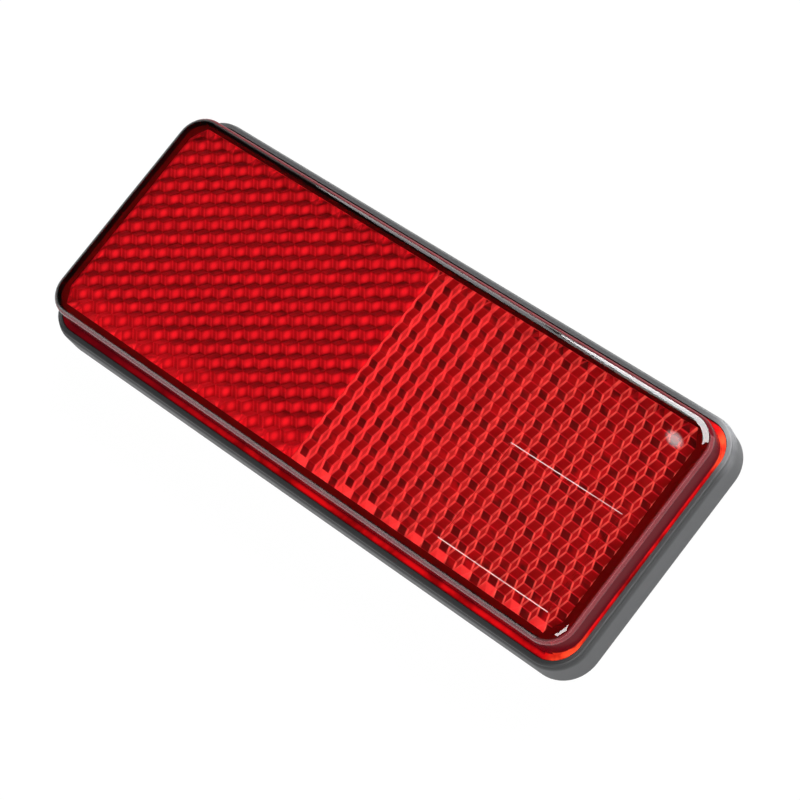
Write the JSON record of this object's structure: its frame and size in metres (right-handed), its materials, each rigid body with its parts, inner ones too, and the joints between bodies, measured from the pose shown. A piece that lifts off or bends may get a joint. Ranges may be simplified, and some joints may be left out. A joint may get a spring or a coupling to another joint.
{
  "type": "rear reflector",
  "caption": "Rectangular red rear reflector: a clear lens over a field of cube-corner prisms, in a grey rubber base with captive nuts at the back.",
  "frame": {"origin": "centre of the base's flat back, which lies on a surface at Z = 0", "axes": "+X along the length, +Y across the width, +Z out of the lens's face"},
  "size_m": [0.0926, 0.0362, 0.0091],
  "materials": {
    "red_lens": "clear red plastic, polished face",
    "plate_plastic": "satin",
    "grey_rubber": "matte, lightly scuffed",
    "zinc_steel": "zinc plated"
  },
  "bodies": {
    "root": {"lens": "red_lens", "backing_plate": "plate_plastic", "base": "grey_rubber", "captive_nut_left": "zinc_steel", "captive_nut_right": "zinc_steel"}
  },
  "joints": []
}
